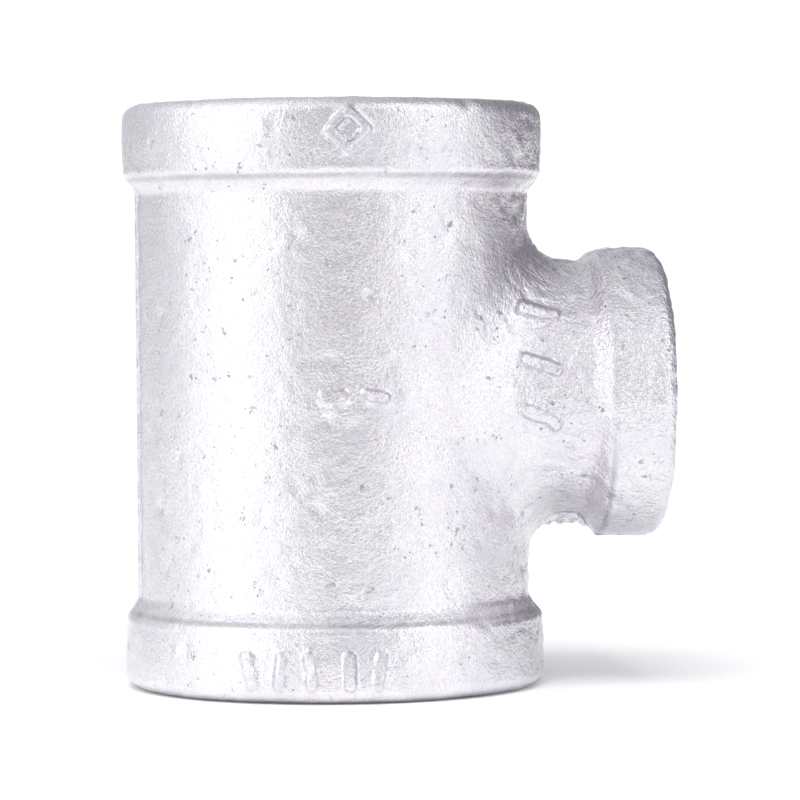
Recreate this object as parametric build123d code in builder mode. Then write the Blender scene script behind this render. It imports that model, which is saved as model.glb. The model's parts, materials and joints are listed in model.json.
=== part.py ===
from build123d import *
from build123d.topology import SkipClean
import math
import os

# Reducing tee, nominal 1 x 1 x 1/2 in, one malleable-iron casting.
# Units are millimetres. The run lies along Z and the branch leaves along +X.
# The origin is where the centrelines of the run and the branch cross.

# Run: the straight pass with a 1 in socket at each end
RUN_REACH = 31.4  # centreline crossing to either run face
RUN_BAND_R = 22.75  # outside of the reinforcing bands
RUN_BAND_WIDTH = 6.8
RUN_BODY_R = 21.15  # outside of the barrel between the bands
RUN_CORE_R = 17.5  # cored chamber behind the threads
RUN_BORE_R = 14.9  # drilled hole that the thread is cut into
RUN_SOCKET_DEPTH = 17.0  # face to the chamber's shoulder

# Branch: the side outlet with a 1/2 in socket
BRANCH_REACH = 35.6
BRANCH_BAND_R = 15.75
BRANCH_BAND_WIDTH = 6.2
BRANCH_NECK_R = 14.35
BRANCH_CORE_R = 11.4
BRANCH_BORE_R = 9.2
BRANCH_SOCKET_DEPTH = 13.0

# Cast shape
SHOULDER_LENGTH = 3.0  # slope from a band down to the barrel or the neck
LIP_RADIUS = 1.9  # rounded outer corner of each mouth
SHOULDER_RADIUS = 1.2
CROTCH_RADIUS = 4.0  # blend between the neck and the barrel
CORE_SHOULDER = 2.0  # slope from a socket out to the chamber

# Taper pipe thread: 60 degree groove, taper of 1 in 16 on diameter
RUN_PITCH = 25.4 / 11.5
RUN_MAJOR_R = 16.61  # groove bottom at the face
BRANCH_PITCH = 25.4 / 14
BRANCH_MAJOR_R = 10.61
TAPER = 1 / 32  # loss of radius per length
HALF_ANGLE = math.radians(30)
ROOT_FLAT = 0.03  # flat at the groove bottom, in pitches
COUNTERSINK = 1.9  # depth and radial width of the 45 degree mouth chamfer
THREAD_OVERLAP = 0.1  # how far the groove's cutter reaches into the open bore
QUARTERS = 4  # a bore wall is four faces, a quarter turn each
FIRST_QUARTER = 20  # degrees from X to the first of them

# Parting line and raised marks
SEAM_HEIGHT = 0.25
SEAM_WIDTH = 0.9
MARK_HEIGHT = 0.5
MARK_ROOT = 1.5  # how deep a mark reaches into the wall
BAR_WIDTH = 1.2


def end_solid(reach, band_r, band_width, body_r):
    """One banded end with its axis along Z, from the origin to the mouth at the top."""
    band_foot = (band_r, reach - band_width)
    slope_foot = (body_r, reach - band_width - SHOULDER_LENGTH)
    with BuildPart() as end:
        with BuildSketch(Plane.XZ) as profile:
            with BuildLine():
                Polyline(
                    (0, 0),
                    (0, reach),
                    (band_r, reach),
                    band_foot,
                    slope_foot,
                    (body_r, 0),
                    close=True,
                )
            make_face()
            corners = profile.vertices()
            lip = corners.sort_by_distance((band_r, reach))[0]
            shoulder = [corners.sort_by_distance(foot)[0] for foot in (band_foot, slope_foot)]
            fillet(lip, LIP_RADIUS)
            fillet(shoulder, SHOULDER_RADIUS)
        revolve(axis=Axis.Z)
    return end.part


def thread_groove(pitch, major_r, cut, bottom, top):
    """The whole thread groove as one right-hand helical cutter, from height bottom to top."""
    flat = ROOT_FLAT * pitch / 2
    root = cut * math.tan(HALF_ANGLE) + flat
    with BuildPart() as groove:
        with BuildLine() as path:
            Helix(
                pitch,
                top - bottom,
                major_r + bottom * TAPER,
                center=(0, 0, bottom),
                cone_angle=math.degrees(math.atan(TAPER)),
            )
        start = Plane(origin=path.line @ 0, x_dir=(1, 0, 0), z_dir=path.line % 0)
        with BuildSketch(start):
            with BuildLine():
                Polyline((0, flat), (0, -flat), (-cut, -root), (-cut, root), close=True)
            make_face()
        sweep(path=path.line, is_frenet=True)
    return groove.part


def axial_plane(degrees):
    """The plane that holds the Z axis and the direction at this angle from X."""
    angle = math.radians(degrees)
    return Plane(
        origin=(0, 0, 0),
        x_dir=(math.cos(angle), math.sin(angle), 0),
        z_dir=(math.sin(angle), -math.cos(angle), 0),
    )


def socket_cutters(pitch, major_r, bore_r, core_r, depth):
    """What is cut away to make one socket, with its mouth at z = 0 and its axis along Z.

    The hole comes as quarters and the thread groove as half turns, to be cut one after another.
    """
    cutters = []
    for quarter in range(QUARTERS):
        with BuildPart() as hole:
            with BuildSketch(axial_plane(FIRST_QUARTER + 360 / QUARTERS * quarter)):
                with BuildLine():
                    Polyline(
                        (0, 1),
                        (bore_r + COUNTERSINK + 1, 1),
                        (bore_r, -COUNTERSINK),
                        (bore_r, -depth),
                        (core_r, -depth - CORE_SHOULDER),
                        (0, -depth - CORE_SHOULDER),
                        close=True,
                    )
                make_face()
            revolve(axis=Axis.Z, revolution_arc=360 / QUARTERS)
        cutters.append(hole.part)
    cut = major_r - COUNTERSINK * TAPER - bore_r + THREAD_OVERLAP
    groove = thread_groove(pitch, major_r, cut, -depth - pitch, pitch / 2)
    for side in (Keep.TOP, Keep.BOTTOM):
        cutters += split(groove, bisect_by=axial_plane(FIRST_QUARTER), keep=side).solids()
    return cutters


def raised_marks(outlines, surface_r, turned=(0, 0, 0)):
    """Low pads on the front of a round wall, each (width, height, tilt, x, z) seen from the front."""
    with BuildPart() as pads:
        for width, height, tilt, x, z in outlines:
            with BuildSketch(Plane(origin=(x, 0, z), x_dir=(1, 0, 0), z_dir=(0, -1, 0))):
                RectangleRounded(width, height, 0.45 * min(width, height), rotation=tilt)
            extrude(amount=2 * surface_r)
        Cylinder(surface_r + MARK_HEIGHT, 3 * RUN_REACH, rotation=turned, mode=Mode.INTERSECT)
        Cylinder(surface_r - MARK_ROOT, 3 * RUN_REACH, rotation=turned, mode=Mode.SUBTRACT)
    return pads.part


def casting_skin(extra):
    """The outside of the casting, still solid inside, with every radius larger by extra."""
    with BuildPart() as skin:
        with Locations(Location((0, 0, 0)), Location((0, 0, 0), (180, 0, 0))):
            add(end_solid(RUN_REACH, RUN_BAND_R + extra, RUN_BAND_WIDTH, RUN_BODY_R + extra))
        with Locations(Location((0, 0, 0), (0, 90, 0))):
            add(
                end_solid(
                    BRANCH_REACH, BRANCH_BAND_R + extra, BRANCH_BAND_WIDTH, BRANCH_NECK_R + extra
                )
            )
        crotch = skin.edges().filter_by(
            lambda edge: edge.geom_type not in (GeomType.CIRCLE, GeomType.LINE)
        )
        fillet(crotch, CROTCH_RADIUS - extra)
    return skin.part


# The parting line: a thin slice of a slightly larger skin, in the XZ plane
with BuildPart() as seam:
    add(casting_skin(SEAM_HEIGHT))
    Box(4 * BRANCH_REACH, SEAM_WIDTH, 3 * RUN_REACH, mode=Mode.INTERSECT)

band_middle = RUN_REACH - RUN_BAND_WIDTH / 2
upper_band_mark = [(3.6, 3.6, 45, 0, band_middle)]
lower_band_marks = [
    (BAR_WIDTH, 3.4, 0, x, -band_middle) for x in (-10.5, -7.4, -4.3, -0.2, 2.9)
]
barrel_marks = [(2.9, BAR_WIDTH, 0, x, 0.4) for x in (-1.6, 2.8)]
neck_marks = [(4.6, BAR_WIDTH, 0, 21, z) for z in (-2.2, 3.4, 9.0)]

band_pads = raised_marks(upper_band_mark + lower_band_marks, RUN_BAND_R)
barrel_pads = raised_marks(barrel_marks, RUN_BODY_R)
neck_pads = raised_marks(neck_marks, BRANCH_NECK_R, turned=(0, 90, 0))

upper_mouth = Location((0, 0, RUN_REACH))
lower_mouth = Location((0, 0, -RUN_REACH), (180, 0, 0))
branch_mouth = Location((BRANCH_REACH, 0, 0), (0, 90, 0))
run_cutters = socket_cutters(RUN_PITCH, RUN_MAJOR_R, RUN_BORE_R, RUN_CORE_R, RUN_SOCKET_DEPTH)
branch_cutters = socket_cutters(
    BRANCH_PITCH, BRANCH_MAJOR_R, BRANCH_BORE_R, BRANCH_CORE_R, BRANCH_SOCKET_DEPTH
)

with BuildPart() as tee_body:
    add(casting_skin(0))
    add(seam.part)
    add([band_pads, barrel_pads, neck_pads])
    # Cored chamber
    Cylinder(RUN_CORE_R, 2 * (RUN_REACH - RUN_SOCKET_DEPTH - CORE_SHOULDER), mode=Mode.SUBTRACT)
    with Locations((0, 0, 0)):
        Cylinder(
            BRANCH_CORE_R,
            BRANCH_REACH - BRANCH_SOCKET_DEPTH - CORE_SHOULDER,
            rotation=(0, 90, 0),
            align=(Align.CENTER, Align.CENTER, Align.MIN),
            mode=Mode.SUBTRACT,
        )
    # The sockets, with the quarters of each bore wall kept as separate faces
    with SkipClean():
        for mouth, cutters in (
            (upper_mouth, run_cutters),
            (lower_mouth, run_cutters),
            (branch_mouth, branch_cutters),
        ):
            with Locations(mouth):
                for cutter in cutters:
                    add(cutter, mode=Mode.SUBTRACT, clean=False)

tee_body.part.label = "tee_body"

os.makedirs("parts", exist_ok=True)
export_step(tee_body.part, "parts/tee_body.step")
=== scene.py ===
import json
import math

import bpy
import numpy as np
from mathutils import Matrix, Vector


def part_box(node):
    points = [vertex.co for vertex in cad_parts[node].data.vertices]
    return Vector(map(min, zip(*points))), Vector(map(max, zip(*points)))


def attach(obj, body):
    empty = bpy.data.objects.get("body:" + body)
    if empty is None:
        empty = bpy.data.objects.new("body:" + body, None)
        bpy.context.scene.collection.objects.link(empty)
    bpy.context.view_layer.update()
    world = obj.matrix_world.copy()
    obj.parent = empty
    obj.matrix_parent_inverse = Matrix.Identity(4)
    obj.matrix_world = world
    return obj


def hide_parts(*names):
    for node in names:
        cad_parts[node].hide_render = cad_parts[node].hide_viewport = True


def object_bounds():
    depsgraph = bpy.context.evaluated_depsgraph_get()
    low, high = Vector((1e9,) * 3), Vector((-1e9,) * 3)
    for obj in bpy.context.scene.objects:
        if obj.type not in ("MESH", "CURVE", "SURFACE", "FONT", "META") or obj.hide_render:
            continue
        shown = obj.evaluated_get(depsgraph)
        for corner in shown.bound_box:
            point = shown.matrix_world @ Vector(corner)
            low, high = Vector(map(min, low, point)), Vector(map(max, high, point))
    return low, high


# A galvanized reducing tee. The shape is a distance field, in millimetres: negative inside the
# iron, positive outside. The field is turned into one closed mesh by dual contouring, and the
# pebbles, pits and drips of the zinc are then pushed into that mesh.

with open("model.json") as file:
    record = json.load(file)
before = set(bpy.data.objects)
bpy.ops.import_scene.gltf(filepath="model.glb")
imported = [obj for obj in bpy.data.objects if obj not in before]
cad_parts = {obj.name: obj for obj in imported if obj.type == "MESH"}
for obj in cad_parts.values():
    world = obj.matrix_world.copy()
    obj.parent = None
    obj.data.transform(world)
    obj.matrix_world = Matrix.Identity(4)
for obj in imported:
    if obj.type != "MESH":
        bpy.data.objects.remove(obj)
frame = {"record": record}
cad_low, cad_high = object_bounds()

# Sizes read from the frame
MM = 1000.0
low, high = (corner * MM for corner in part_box("tee_body"))
mounts = {mount["name"]: mount for mount in frame["record"]["mounts"]}
RUN_REACH = high.z
RUN_BAND_R = high.y
BRANCH_REACH = high.x
SEAM_HEIGHT = -low.x - RUN_BAND_R
MARK_HEIGHT = -low.y - RUN_BAND_R
RUN_BORE_R = mounts["upper_socket"]["dims"]["r_mm"]
BRANCH_BORE_R = mounts["branch_socket"]["dims"]["r_mm"]
COUNTERSINK = 1.9
RUN_SOCKET_DEPTH = mounts["upper_socket"]["dims"]["length_mm"] + COUNTERSINK
BRANCH_SOCKET_DEPTH = mounts["branch_socket"]["dims"]["length_mm"] + COUNTERSINK

# Casting
RUN_BODY_R = 21.15
RUN_CORE_R = 17.5
RUN_BAND_WIDTH = 6.8
BRANCH_BAND_R = 15.75
BRANCH_NECK_R = 14.35
BRANCH_CORE_R = 11.4
BRANCH_BAND_WIDTH = 6.2
BAND_CROWN = 0.14
BAND_CORNER = 0.45  # from a band's nominal width to the top of its step
BAND_STEP = 2.6  # length of the step
LIP_R = 1.5
CROTCH_R = 4.4
NECK_FLAT = 1.2  # how much thinner the neck is below than above
MARK_SOFTNESS = 0.27
CORE_SHOULDER = 2.0
CORE_EDGE_R = 1.2

# Parting line
GROUND_STRIP_WIDTH = 1.9  # half the width of the strip down the barrel, away from the branch
RIDGE_WIDTH = 0.5  # half the width of the ridge elsewhere
FIN_DEPTH = 14.3  # least distance from the branch's centreline to the fin's edge
FIN_DEPTH_X = 25  # where along the branch that is
FIN_CURVE = 0.055  # how fast the fin gets deeper away from there
FIN_HALF_THICKNESS = 0.45
FIN_MIDDLE_X = 23.5
FIN_HALF_LENGTH = 5.5
FIN_BLEND_R = 0.35

# Taper pipe threads
RUN_PITCH = 25.4 / 11.5
RUN_MAJOR_R = 16.61
BRANCH_PITCH = 25.4 / 14
BRANCH_MAJOR_R = 10.61
TAPER = 1 / 32  # loss of radius per length
GROOVE_SLOPE = 1 / math.tan(math.radians(30))
GROOVE_FLAT = 0.015  # half the flat at the groove's bottom, in pitches
GROOVE_START = 0.9  # depth where the groove is whole; it fades out from there to the face
GROOVE_FADE = 2.0  # how much shallower it is at the face
CUT_MARGIN = 0.4  # how far past a socket's depth the bare iron goes

# Studio
CAMERA_AZIMUTH = -5.4
STRIP_GLOW = 0.36  # light from within the floor, far behind the tee
SHEET_GLOW = 0.04  # the same, round the tee

# Mesh
CELL = 0.34
GRID_MARGIN = 1.2
SHARP_ANGLE = math.radians(38)
ROOT_ROUNDS = 4  # steps taken towards each crossing of the surface and a grid line
ROOT_LOW, ROOT_HIGH = 0.08, 0.92  # bounds on each of these steps
MIDDLE_PULL = 0.04  # keeps a vertex near its crossings where the surface is flat

# Noise
LATTICE = 40
SKIN_START, SKIN_FULL = 0.1, 0.8  # how far from a cut surface the skin begins and is whole
DENT_COUNT = 360
DENT_SEED = 31
DENT_RADIUS = (0.45, 0.95)
PIT_SHARE = 0.75
PIT_RISE = (-0.2, -0.06)
LUMP_RISE = (0.05, 0.16)


# Distance field

def blend_union(a, b, radius):
    """The union of two shapes, with a concave fillet where they meet."""
    near_a = np.maximum(radius - a, 0)
    near_b = np.maximum(radius - b, 0)
    return np.maximum(radius, np.minimum(a, b)) - np.hypot(near_a, near_b)


def blend_common(a, b, radius):
    """What two shapes share, with the outer edge between them rounded."""
    near_a = np.maximum(radius + a, 0)
    near_b = np.maximum(radius + b, 0)
    return np.minimum(-radius, np.maximum(a, b)) + np.hypot(near_a, near_b)


def ramp(start, end, value):
    """0 before start, 1 after end and smooth between them."""
    part = np.clip((value - start) / (end - start), 0, 1)
    return part * part * (3 - 2 * part)


def banded_end(radial, along, reach, band_r, band_width, body_r, raised):
    """One end of the casting from its axis out: plain wall, step, crowned band, rounded mouth."""
    crown = BAND_CROWN * np.minimum((2 * (reach - along) / band_width - 1) ** 2, 1)
    corner = reach - band_width - BAND_CORNER
    side_r = body_r + (band_r - crown - body_r) * ramp(corner - BAND_STEP, corner, along)
    return blend_common(radial - side_r - raised, along - reach, LIP_R)


def seam_ridge(x, y, z):
    """How far the parting line stands proud: a flat ground strip down the barrel on the side away
    from the branch, and a low ridge elsewhere."""
    ripple = 0.5 + 0.25 * np.sin(1.9 * z + 0.7 * x) + 0.25 * np.sin(0.83 * z - 1.7 * x + 1.1)
    opposite = x < 0
    width = np.where(opposite, GROUND_STRIP_WIDTH + 0.2 * np.sin(0.9 * z), RIDGE_WIDTH)
    strip = 1 - ramp(0.85 * width, 1.15 * width, np.abs(y))
    on_band = ramp(RUN_REACH - 10, RUN_REACH - 8, np.abs(z))
    ground = (SEAM_HEIGHT * (0.8 + 0.1 * ripple) + y * y / (2 * RUN_BODY_R)) * (1 - on_band)
    height = np.where(opposite, ground, 0.7 * SEAM_HEIGHT * ripple)
    return strip * height


def neck_fin(x, y, z):
    """The thin ragged web that the parting line left under the neck, between barrel and band."""
    ripple = np.sin(2.3 * x) + np.sin(5.1 * x + 1)
    depth = FIN_DEPTH + FIN_CURVE * (x - FIN_DEPTH_X) ** 2 + 0.1 * ripple
    thickness = np.abs(y) - FIN_HALF_THICKNESS - 0.06 * ripple
    ends = np.maximum(np.abs(x - FIN_MIDDLE_X) - FIN_HALF_LENGTH, z)
    return np.maximum(np.maximum(thickness, -z - depth), ends)


def bar_mark(x, z, centre, size, tilt, roundness=0.4):
    """A low bar seen from the front: 1 on its top and 0 round it."""
    turn = math.radians(tilt)
    across = (x - centre[0]) * math.cos(turn) + (z - centre[1]) * math.sin(turn)
    up = (z - centre[1]) * math.cos(turn) - (x - centre[0]) * math.sin(turn)
    corner = roundness * min(size)
    away_across = np.abs(across) - size[0] / 2 + corner
    away_up = np.abs(up) - size[1] / 2 + corner
    outside = np.hypot(np.maximum(away_across, 0), np.maximum(away_up, 0))
    inside = np.minimum(np.maximum(away_across, away_up), 0)
    return 1 - ramp(-MARK_SOFTNESS, MARK_SOFTNESS, outside + inside - corner)


def mark_share(x, y, z):
    """The plain raised marks on the front, a lozenge ring and bars: 1 on top and 0 round them."""
    middle = RUN_REACH - RUN_BAND_WIDTH / 2
    lozenge = bar_mark(x, z, (0, middle), (3.8, 3.8), 45, 0.15)
    lozenge -= 0.9 * bar_mark(x, z, (0, middle), (1.8, 1.8), 45, 0.15)
    upright, level, slanted = (1.3, 4.2), (3.1, 1.3), (4.8, 1.4)
    bars = [
        ((-10.5, -middle), upright, 12, 0.7),
        ((-7.4, -middle), upright, -5, 0.85),
        ((-4.3, -middle), upright, 6, 1.0),
        ((-0.2, -middle), upright, 0, 1.0),
        ((2.9, -middle), upright, -8, 0.8),
        ((-1.6, 0.4), level, 6, 0.85),
        ((2.8, 0.4), level, -12, 1.0),
        ((21.0, -2.2), slanted, -24, 1.0),
        ((21.0, 3.4), slanted, -20, 1.0),
        ((21.0, 9.0), slanted, -14, 1.0),
    ]
    height = lozenge
    for centre, size, tilt, share in bars:
        height = np.maximum(height, share * bar_mark(x, z, centre, size, tilt))
    return np.where(y < 0, height, 0)


def outside_field(x, y, z):
    """The casting with no holes in it."""
    raised = seam_ridge(x, y, z) + MARK_HEIGHT * mark_share(x, y, z)
    run = banded_end(
        np.hypot(x, y), np.abs(z), RUN_REACH, RUN_BAND_R, RUN_BAND_WIDTH, RUN_BODY_R, raised
    )
    neck_r = BRANCH_NECK_R - NECK_FLAT * ramp(4, 13, -z)
    branch = banded_end(
        np.hypot(y, z), x, BRANCH_REACH, BRANCH_BAND_R, BRANCH_BAND_WIDTH, neck_r, raised
    )
    body = blend_union(run, np.maximum(branch, -x), CROTCH_R)
    return blend_union(body, neck_fin(x, y, z), FIN_BLEND_R)


def socket_radius(turn, depth, pitch, major_r, bore_r, core_r, socket_depth):
    """Radius of the hole behind a mouth, at this angle and depth: countersink, thread, chamber."""
    lead = depth + pitch * turn / (2 * math.pi) - socket_depth
    offset = np.abs((lead + pitch / 2) % pitch - pitch / 2)
    groove = major_r - depth * TAPER - np.maximum(offset - GROOVE_FLAT * pitch, 0) * GROOVE_SLOPE
    groove = groove - GROOVE_FADE * (1 - ramp(0, GROOVE_START, depth))
    mouth = bore_r + COUNTERSINK - depth
    chamber = bore_r + (depth - socket_depth) * (core_r - bore_r) / CORE_SHOULDER
    chamber = np.minimum(chamber, core_r)
    in_thread = np.where(depth < socket_depth + CORE_SHOULDER, groove, 0)
    return np.maximum(np.maximum(mouth, bore_r), np.maximum(in_thread, chamber))


def hole_fields(x, y, z):
    """The run's hole and the branch's hole, each negative inside the hole."""
    turn = np.arctan2(y, x)
    run_r = socket_radius(
        np.where(z > 0, turn, -turn),
        RUN_REACH - np.abs(z),
        RUN_PITCH,
        RUN_MAJOR_R,
        RUN_BORE_R,
        RUN_CORE_R,
        RUN_SOCKET_DEPTH,
    )
    branch_r = socket_radius(
        np.arctan2(y, -z),
        BRANCH_REACH - x,
        BRANCH_PITCH,
        BRANCH_MAJOR_R,
        BRANCH_BORE_R,
        BRANCH_CORE_R,
        BRANCH_SOCKET_DEPTH,
    )
    return np.hypot(x, y) - run_r, np.maximum(np.hypot(y, z) - branch_r, -x)


def tee_field(x, y, z):
    """The whole tee."""
    return np.maximum(outside_field(x, y, z), -blend_union(*hole_fields(x, y, z), CORE_EDGE_R))


# Dual contouring

def grid_axes():
    """The grid's steps along X, Y and Z, a little beyond the casting."""
    axes = []
    for start, end in zip(low, high):
        count = math.ceil((end - start + 2 * GRID_MARGIN) / CELL)
        axes.append(start - GRID_MARGIN + CELL * np.arange(count + 1))
    return axes


def sample(field, axes):
    """The field at every grid point, a slab at a time to save memory."""
    values = np.empty([len(axis) for axis in axes])
    y, z = np.meshgrid(axes[1], axes[2], indexing="ij")
    for i, x in enumerate(axes[0]):
        values[i] = field(np.full(y.shape, x), y, z)
    return values


def crossings(field, axes, values, direction):
    """Where the surface crosses the grid lines that run in one direction.

    Gives each crossing's lower grid corner, its point and whether the line enters the iron.
    """
    lower = [slice(None)] * 3
    upper = [slice(None)] * 3
    lower[direction] = slice(None, -1)
    upper[direction] = slice(1, None)
    start, end = values[tuple(lower)], values[tuple(upper)]
    corner = np.argwhere((start < 0) != (end < 0))
    first = start[tuple(corner.T)]
    last = end[tuple(corner.T)]
    point = np.stack([axes[k][corner[:, k]] for k in range(3)], axis=1)
    base = point[:, direction].copy()
    near, far = np.zeros(len(corner)), np.ones(len(corner))
    entering = last < 0
    f_near, f_far = first, last
    for _ in range(ROOT_ROUNDS):
        step = np.clip(f_near / (f_near - f_far), ROOT_LOW, ROOT_HIGH)
        share = near + (far - near) * step
        point[:, direction] = base + CELL * share
        value = field(*point.T)
        same = (value < 0) == (f_near < 0)
        near, f_near = np.where(same, share, near), np.where(same, value, f_near)
        far, f_far = np.where(same, far, share), np.where(same, f_far, value)
    share = near + (far - near) * f_near / (f_near - f_far)
    point[:, direction] = base + CELL * share
    return corner, point, entering


def gradient(field, points, step=0.01):
    """The field's direction of steepest rise at these points, as unit vectors."""
    slope = np.empty_like(points)
    for k in range(3):
        shift = np.zeros(3)
        shift[k] = step
        slope[:, k] = field(*(points + shift).T) - field(*(points - shift).T)
    return slope / np.maximum(np.linalg.norm(slope, axis=1, keepdims=True), 1e-12)


def contour(field):
    """A closed quad mesh of the field's surface: its vertices in millimetres, and its quads."""
    axes = grid_axes()
    values = sample(field, axes)
    cells = np.array(values.shape)
    strides = np.array([cells[1] * cells[2], cells[2], 1])
    rings, points = [], []
    for direction in range(3):
        corner, point, entering = crossings(field, axes, values, direction)
        one, two = np.zeros(3, int), np.zeros(3, int)
        one[(direction + 1) % 3] = 1
        two[(direction + 2) % 3] = 1
        shifts = [np.zeros(3, int), one, one + two, two]
        ring = np.stack([(corner - shift) @ strides for shift in shifts], axis=1)
        ring[entering] = ring[entering][:, ::-1]
        rings.append(ring)
        points.append(point)
    ring, point = np.concatenate(rings), np.concatenate(points)
    used, quads = np.unique(ring, return_inverse=True)
    quads = quads.reshape(ring.shape)
    normal = gradient(field, point)
    owner = quads.ravel()
    crossing = np.repeat(np.arange(len(point)), 4)

    def gather(weights):
        return np.bincount(owner, weights[crossing], len(used))

    count = gather(np.ones(len(point)))
    middle = np.stack([gather(point[:, k]) for k in range(3)], axis=1) / count[:, None]
    matrix = np.empty((len(used), 3, 3))
    for row in range(3):
        for column in range(3):
            matrix[:, row, column] = gather(normal[:, row] * normal[:, column])
    reach = np.einsum("ij,ij->i", normal, point)
    target = np.stack([gather(normal[:, k] * reach) for k in range(3)], axis=1)
    target -= np.einsum("ijk,ik->ij", matrix, middle)
    matrix += MIDDLE_PULL * count[:, None, None] * np.eye(3)
    vertex = middle + np.linalg.solve(matrix, target[:, :, None])[:, :, 0]
    index = np.stack(np.unravel_index(used, values.shape), axis=1)
    floor = np.stack([axes[k][index[:, k]] for k in range(3)], axis=1)
    return np.clip(vertex, floor, floor + CELL), quads


# Zinc skin

def smooth_noise(points, size, seed):
    """Random values from -1 to 1 that change smoothly over this distance."""
    lattice = np.random.default_rng(seed).uniform(-1, 1, (LATTICE, LATTICE, LATTICE))
    place = points / size
    base = np.floor(place).astype(int)
    part = place - base
    part = part * part * (3 - 2 * part)
    total = np.zeros(len(points))
    for dx in (0, 1):
        for dy in (0, 1):
            for dz in (0, 1):
                step = np.array([dx, dy, dz])
                weight = np.prod(np.where(step, part, 1 - part), axis=1)
                spot = (base + step) % LATTICE
                total += weight * lattice[spot[:, 0], spot[:, 1], spot[:, 2]]
    return total


def turned(points, degrees):
    """The points turned, so that one layer of noise doesn't line up with another."""
    spin = Matrix.Rotation(math.radians(degrees), 3, Vector((1, 2, 3)))
    return points @ np.array(spin)


def dents_and_lumps(points, cast):
    """Sparse pits where gas or flux left a hole, and a few drips of extra zinc."""
    rng = np.random.default_rng(DENT_SEED)
    height = np.zeros(len(points))
    candidates = np.flatnonzero(cast)
    for _ in range(DENT_COUNT):
        spot = points[rng.choice(candidates)]
        radius = rng.uniform(*DENT_RADIUS)
        rise = rng.uniform(*(PIT_RISE if rng.random() < PIT_SHARE else LUMP_RISE))
        near = np.abs(points - spot).max(axis=1) < 2.4 * radius
        gap = np.linalg.norm(points[near] - spot, axis=1)
        height[near] += rise * np.exp(-((gap / radius) ** 2))
    return height


def skin_height(points, cast):
    """How far the zinc skin lies above or below the casting's smooth shape."""
    wave = 0.05 * smooth_noise(turned(points, 20), 7.0, 1) - 0.05
    wave += 0.04 * smooth_noise(turned(points, 75), 3.1, 2)
    rough = 0.5 + 0.5 * ramp(-0.6, 0.6, smooth_noise(turned(points, 50), 6.0, 3))
    rough += 1.8 * ramp(15, 22, points[:, 0])
    pebble = 0.035 * smooth_noise(turned(points, 35), 1.3, 4)
    pebble += 0.035 * smooth_noise(turned(points, 110), 0.8, 5)
    return cast * (wave + rough * pebble + dents_and_lumps(points, cast > 0.6))


def painted_crease_shade(x, y, z):
    """How much painted shade darkens the zinc here, 0 to 1.3: in the creases of the band steps,
    round the edges of the marks and beside the fin, stronger under the branch."""
    share = mark_share(x, y, z)
    round_marks = 2.4 * share * (1 - share)
    run_step = RUN_REACH - RUN_BAND_WIDTH - BAND_CORNER - 0.37 * BAND_STEP
    branch_step = BRANCH_REACH - BRANCH_BAND_WIDTH - BAND_CORNER - 0.06 * BAND_STEP
    in_run_step = 1.1 * (1 - ramp(0.05, 0.45, np.abs(np.abs(z) - run_step)))
    in_branch_step = 1 - ramp(0.05, 0.45, np.abs(x - branch_step))
    in_branch_step *= 0.4 + 0.9 * ramp(3, 9, -z)
    beside_fin = ramp(0.4, 0.7, np.abs(y)) * (1 - ramp(0.8, 1.5, np.abs(y)))
    beside_fin = beside_fin * (x > 19) * (np.abs(z) < 19)
    return np.clip(round_marks + in_run_step + in_branch_step + beside_fin, 0, 1.3)


def is_machined(points):
    """Which points lie on a countersink or thread, and how far each is from the holes' wall."""
    outer = outside_field(*points.T)
    hole = np.minimum(*hole_fields(*points.T))
    in_run = RUN_REACH - np.abs(points[:, 2]) < RUN_SOCKET_DEPTH + CUT_MARGIN
    in_branch = BRANCH_REACH - points[:, 0] < BRANCH_SOCKET_DEPTH + CUT_MARGIN
    return (np.abs(hole) < np.abs(outer)) & (in_run | in_branch), np.abs(hole)


def tee_mesh():
    """The tee's mesh, with its threads marked by the second material."""
    points, quads = contour(tee_field)
    normals = gradient(tee_field, points)
    machined, from_hole = is_machined(points)
    bare, _ = is_machined(points[quads].mean(axis=1))
    in_chamber = ~machined & (from_hole < SKIN_START) & (outside_field(*points.T) < -0.5)
    skin_share = np.where(in_chamber, 1, ramp(SKIN_START, SKIN_FULL, from_hole))
    cast = np.where(machined, 0, skin_share)
    # Painted shade in the creases of the band steps, round the marks and beside the fin
    grey = painted_crease_shade(*points.T) * (cast > 0.5)
    points = points + normals * skin_height(points, cast)[:, None]
    mesh = bpy.data.meshes.new("tee_body")
    mesh.vertices.add(len(points))
    mesh.vertices.foreach_set("co", (points / MM).ravel())
    mesh.loops.add(quads.size)
    mesh.loops.foreach_set("vertex_index", quads.ravel())
    mesh.polygons.add(len(quads))
    mesh.polygons.foreach_set("loop_start", np.arange(0, quads.size, 4))
    mesh.polygons.foreach_set("loop_total", np.full(len(quads), 4))
    mesh.update(calc_edges=True)
    mesh.polygons.foreach_set("material_index", bare.astype(int))
    mesh.polygons.foreach_set("use_smooth", np.ones(len(quads), bool))
    mesh.set_sharp_from_angle(angle=SHARP_ANGLE)
    # The painted crease shade is kept on the mesh for the zinc material
    mesh.attributes.new("painted_crease_shade", "FLOAT", "POINT").data.foreach_set("value", grey)
    return mesh


# Materials

def new_material(name):
    """A new node material, with its node tree and its Principled shader."""
    material = bpy.data.materials.new(name)
    material.use_nodes = True
    tree = material.node_tree
    return material, tree, tree.nodes["Principled BSDF"]


def add_node(tree, kind, inputs=(), **settings):
    """Adds a node, sets its properties and links or sets its inputs by name or number."""
    node = tree.nodes.new(kind)
    for key, value in settings.items():
        setattr(node, key, value)
    for key, value in dict(inputs).items():
        if isinstance(value, bpy.types.NodeSocket):
            tree.links.new(value, node.inputs[key])
        else:
            node.inputs[key].default_value = value
    return node


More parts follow.
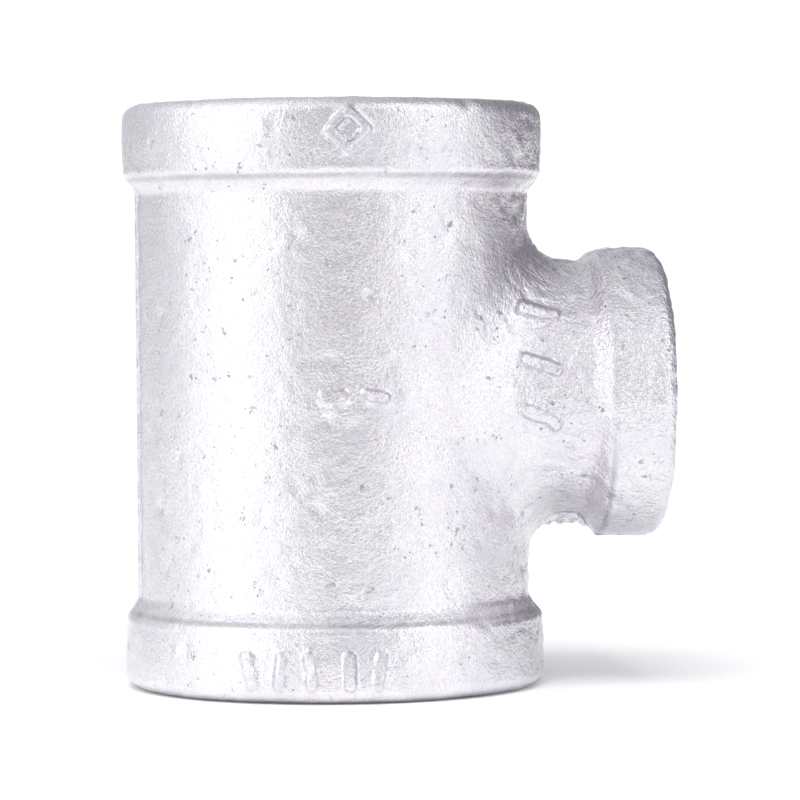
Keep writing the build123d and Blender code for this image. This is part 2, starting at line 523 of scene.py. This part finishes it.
def noise(tree, place, per_mm, detail=3.0, roughness=0.55, kind="FBM"):
    """A noise texture with so many features in a millimetre."""
    return add_node(
        tree,
        "ShaderNodeTexNoise",
        {"Vector": place, "Scale": per_mm * MM, "Detail": detail, "Roughness": roughness},
        noise_type=kind,
    ).outputs["Fac"]


def remap(tree, value, start, end, low_value, high_value):
    """Maps start..end to low_value..high_value, smoothly."""
    inputs = {
        "Value": value,
        "From Min": start,
        "From Max": end,
        "To Min": low_value,
        "To Max": high_value,
    }
    return add_node(
        tree, "ShaderNodeMapRange", inputs, interpolation_type="SMOOTHSTEP"
    ).outputs["Result"]


def mixed(tree, share, first, second):
    """A colour between two colours."""
    node = add_node(tree, "ShaderNodeMix", data_type="RGBA")
    sockets = (node.inputs[0], node.inputs[6], node.inputs[7])
    for socket, value in zip(sockets, (share, first, second)):
        if isinstance(value, bpy.types.NodeSocket):
            tree.links.new(value, socket)
        else:
            socket.default_value = value
    return node.outputs[2]


def math_node(tree, operation, *values):
    """The result of this operation on these sockets or numbers."""
    return add_node(tree, "ShaderNodeMath", dict(enumerate(values)), operation=operation).outputs[0]


def bumped(tree, height, distance_mm, strength, under=None):
    """A bump of this height, over an earlier bump if there is one."""
    inputs = {"Height": height, "Distance": distance_mm / MM, "Strength": strength}
    if under is not None:
        inputs["Normal"] = under
    return add_node(tree, "ShaderNodeBump", inputs).outputs["Normal"]


def speck_mask(tree, place, per_mm, radius, chosen):
    """1 in small ragged dots, one in some of the cells of a random pattern, and 0 elsewhere."""
    ragged = add_node(
        tree, "ShaderNodeTexNoise", {"Vector": place, "Scale": 1.3 * MM, "Detail": 2.0}
    ).outputs["Color"]
    push = add_node(
        tree,
        "ShaderNodeVectorMath",
        {0: ragged, 1: (0.7 / MM, 0.7 / MM, 0.7 / MM), 2: place},
        operation="MULTIPLY_ADD",
    ).outputs[0]
    cells = add_node(tree, "ShaderNodeTexVoronoi", {"Vector": push, "Scale": per_mm * MM}).outputs
    pick = add_node(tree, "ShaderNodeSeparateColor", {"Color": cells["Color"]}).outputs["Red"]
    dot = remap(tree, cells["Distance"], 0.55 * radius, radius, 1, 0)
    kept = remap(tree, pick, chosen, chosen + 0.25, 1, 0)
    return math_node(tree, "MULTIPLY", dot, kept)


def galvanized_material():
    """Hot-dip zinc over a cast skin: bright, pebbled, with fine dark pits, smudges and duller
    patches, and with painted shade in the creases and in the low parts of the bumps."""
    material, tree, shader = new_material("galvanized_zinc")
    place = add_node(tree, "ShaderNodeTexCoord").outputs["Object"]
    patches = noise(tree, place, 0.16, 3.0, 0.6)
    grain = noise(tree, place, 2.5, 2.0, 0.6)
    fine = noise(tree, place, 5.2, 2.0, 0.65)
    ragged = noise(tree, place, 0.6, 6.0, 0.78)
    pores = speck_mask(tree, place, 0.85, 0.13, 0.25)
    pits = speck_mask(tree, place, 0.3, 0.085, 0.3)
    in_dull_patches = remap(tree, patches, 0.42, 0.58, 1.0, 0.2)
    specks = math_node(tree, "MULTIPLY", math_node(tree, "MAXIMUM", pores, pits), in_dull_patches)
    smudges = remap(tree, ragged, 0.625, 0.68, 0, 0.85)
    marks = math_node(tree, "MAXIMUM", specks, smudges)
    # Painted shade in the creases, read from the mesh and broken up by noise
    grey = add_node(tree, "ShaderNodeAttribute", attribute_name="painted_crease_shade").outputs["Fac"]
    broken = remap(tree, noise(tree, place, 0.3, 4.0, 0.65), 0.38, 0.6, 0.35, 0.6)
    marks = math_node(tree, "MAXIMUM", marks, math_node(tree, "MULTIPLY", grey, broken))
    bright, dull = (0.91, 0.892, 0.925, 1), (0.83, 0.812, 0.852, 1)
    bump_valley_shade, dark_spot_and_shade = (0.72, 0.705, 0.745, 1), (0.42, 0.41, 0.44, 1)
    tone = mixed(tree, remap(tree, patches, 0.35, 0.65, 0, 1), dull, bright)
    # Painted shade: the low parts of the fine and pebble bumps are darker
    tone = mixed(tree, remap(tree, fine, 0.33, 0.6, 0.9, 0), tone, bump_valley_shade)
    tone = mixed(tree, remap(tree, grain, 0.3, 0.55, 0.7, 0), tone, bump_valley_shade)
    # Pits, smudges and the painted crease shade take the dark colour
    tree.links.new(mixed(tree, marks, tone, dark_spot_and_shade), shader.inputs["Base Color"])
    tree.links.new(remap(tree, patches, 0.3, 0.7, 0.28, 0.19), shader.inputs["Roughness"])
    shader.inputs["Metallic"].default_value = 1.0
    along_branch = add_node(tree, "ShaderNodeSeparateXYZ", {"Vector": place}).outputs["X"]
    coarse = remap(tree, along_branch, 16 / MM, 24 / MM, 1.0, 2.6)
    pitted = bumped(tree, marks, -0.1, 1.0)
    pebbled = bumped(tree, math_node(tree, "MULTIPLY", grain, coarse), 0.09, 0.8, pitted)
    tree.links.new(bumped(tree, fine, 0.075, 0.8, pebbled), shader.inputs["Normal"])
    return material


def bare_iron_material():
    """Freshly cut iron in the threads, grey with a trace of oil and brown."""
    material, tree, shader = new_material("cut_iron")
    place = add_node(tree, "ShaderNodeTexCoord").outputs["Object"]
    stain = noise(tree, place, 0.3, 4.0, 0.6)
    chatter = noise(tree, place, 2.6, 2.0, 0.5)
    grey, brown = (0.42, 0.41, 0.41, 1), (0.27, 0.235, 0.21, 1)
    tone = mixed(tree, remap(tree, stain, 0.4, 0.7, 0, 1), grey, brown)
    tree.links.new(tone, shader.inputs["Base Color"])
    tree.links.new(remap(tree, stain, 0.3, 0.7, 0.3, 0.48), shader.inputs["Roughness"])
    shader.inputs["Metallic"].default_value = 1.0
    tree.links.new(bumped(tree, chatter, 0.03, 0.5), shader.inputs["Normal"])
    return material


def floor_material():
    """A matt white sheet on a grey table, lit from within where it runs back from the tee."""
    material, tree, shader = new_material("studio_floor")
    place = add_node(tree, "ShaderNodeTexCoord").outputs["Object"]
    spot = add_node(tree, "ShaderNodeSeparateXYZ", {"Vector": place}).outputs
    aside = math_node(tree, "ABSOLUTE", spot["X"])
    within = remap(tree, aside, 0.4, 0.75, 1.0, 0.0)
    near = remap(tree, spot["Y"], -0.3, -0.12, 0.0, 1.0)
    behind = remap(tree, spot["Y"], 0.1, 0.6, SHEET_GLOW, STRIP_GLOW)
    sheet = math_node(tree, "MULTIPLY", within, near)
    glow = math_node(tree, "MULTIPLY", within, behind)
    grey, white = (0.62, 0.62, 0.62, 1), (0.9, 0.9, 0.9, 1)
    tone = mixed(tree, sheet, grey, white)
    tree.links.new(tone, shader.inputs["Base Color"])
    tree.links.new(glow, shader.inputs["Emission Strength"])
    shader.inputs["Emission Color"].default_value = (1, 1, 1, 1)
    shader.inputs["Roughness"].default_value = 0.9
    return material


# Studio

def direction(azimuth, elevation):
    """Unit vector towards this azimuth, 0 in front and 90 on the right, and elevation."""
    a, e = math.radians(azimuth), math.radians(elevation)
    return Vector((math.sin(a) * math.cos(e), -math.cos(a) * math.cos(e), math.sin(e)))


def softbox(name, azimuth, elevation, distance, width, height, radiance):
    """A rectangular light that faces the tee from this direction, hidden from the camera."""
    light = bpy.data.lights.new(name, "AREA")
    light.shape = "RECTANGLE"
    light.size = width
    light.size_y = height
    light.energy = radiance * math.pi * width * height
    lamp = bpy.data.objects.new(name, light)
    towards = direction(azimuth, elevation)
    lamp.location = towards * distance
    lamp.rotation_euler = towards.to_track_quat("Z", "Y").to_euler()
    lamp.visible_camera = False
    bpy.context.scene.collection.objects.link(lamp)
    return lamp


def lobe(tree, place, azimuth, elevation, inner, outer):
    """1 within inner degrees of this direction, falling smoothly to 0 at outer degrees."""
    towards = direction(azimuth, elevation)
    near = add_node(tree, "ShaderNodeVectorMath", {0: place, 1: towards}, operation="DOT_PRODUCT")
    edges = [math.cos(math.radians(angle)) for angle in (outer, inner)]
    return remap(tree, near.outputs["Value"], *edges, 0.0, 1.0)


def studio_world():
    """A grey room: dark in front, overhead and back right, bright upper left, front and behind."""
    world = bpy.data.worlds.new("studio")
    world.use_nodes = True
    tree = world.node_tree
    place = add_node(tree, "ShaderNodeTexCoord").outputs["Generated"]
    colour = (0.73, 0.72, 0.75, 1)
    # Later lobes lie over earlier ones
    for azimuth, elevation, inner, outer, glow in (
        (-5, 0, 8, 36, (0.40, 0.39, 0.415, 1)),
        (15, 72, 12, 34, (0.36, 0.345, 0.38, 1)),
        (8, 42, 5, 22, (1.1, 1.09, 1.11, 1)),
        (128, 16, 24, 52, (0.27, 0.255, 0.29, 1)),
        (-72, 42, 25, 60, (1.1, 1.09, 1.11, 1)),
        (175, 0, 9, 16, (1.06, 1.06, 1.06, 1)),
    ):
        colour = mixed(tree, lobe(tree, place, azimuth, elevation, inner, outer), colour, glow)
    tree.links.new(colour, tree.nodes["Background"].inputs["Color"])
    bpy.context.scene.world = world


def make_floor():
    """A pale floor under the lower mouth."""
    half = 3.0
    gap = 0.0001  # keeps the floor from touching the mouth
    mesh = bpy.data.meshes.new("studio_floor")
    corners = [(-half, -half, 0), (half, -half, 0), (half, half, 0), (-half, half, 0)]
    mesh.from_pydata(corners, [], [(0, 1, 2, 3)])
    floor = bpy.data.objects.new("studio_floor", mesh)
    floor.location.z = cad_low.z - gap
    floor.rotation_euler.z = math.radians(CAMERA_AZIMUTH)
    mesh.materials.append(floor_material())
    bpy.context.scene.collection.objects.link(floor)


def make_camera():
    """A long lens a little to the left of the front and a little above the crossing."""
    elevation, roll = 1.9, math.radians(0.375)
    distance, aside, up_shift = 0.425, 0.00727, -0.000625
    back = direction(CAMERA_AZIMUTH, elevation)
    right = direction(CAMERA_AZIMUTH + 90, 0)
    up = back.cross(right)
    x_axis = math.cos(roll) * right - math.sin(roll) * up
    y_axis = math.sin(roll) * right + math.cos(roll) * up
    data = bpy.data.cameras.new("camera")
    data.sensor_width = 36
    data.lens = 175.8
    camera = bpy.data.objects.new("camera", data)
    turn = Matrix((x_axis, y_axis, back)).transposed()
    place = aside * x_axis + up_shift * y_axis + distance * back
    camera.matrix_world = Matrix.Translation(place) @ turn.to_4x4()
    bpy.context.scene.collection.objects.link(camera)
    bpy.context.scene.camera = camera


make_camera()
make_floor()
studio_world()
# Azimuth and elevation in degrees; distance, width and height in metres; radiance
softbox("left_softbox", -62, 12, 1.0, 0.68, 1.2, 0.95)
softbox("right_softbox", 55, 30, 1.0, 0.66, 1.1, 0.85)
softbox("floor_light", -10, 64, 1.5, 0.7, 0.7, 7).visible_glossy = False
bpy.context.scene.view_settings.view_transform = "Standard"

tee = bpy.data.objects.new("tee_body_cast", tee_mesh())
tee.data.materials.append(galvanized_material())
tee.data.materials.append(bare_iron_material())
bpy.context.scene.collection.objects.link(tee)
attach(tee, "root")
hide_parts("tee_body")
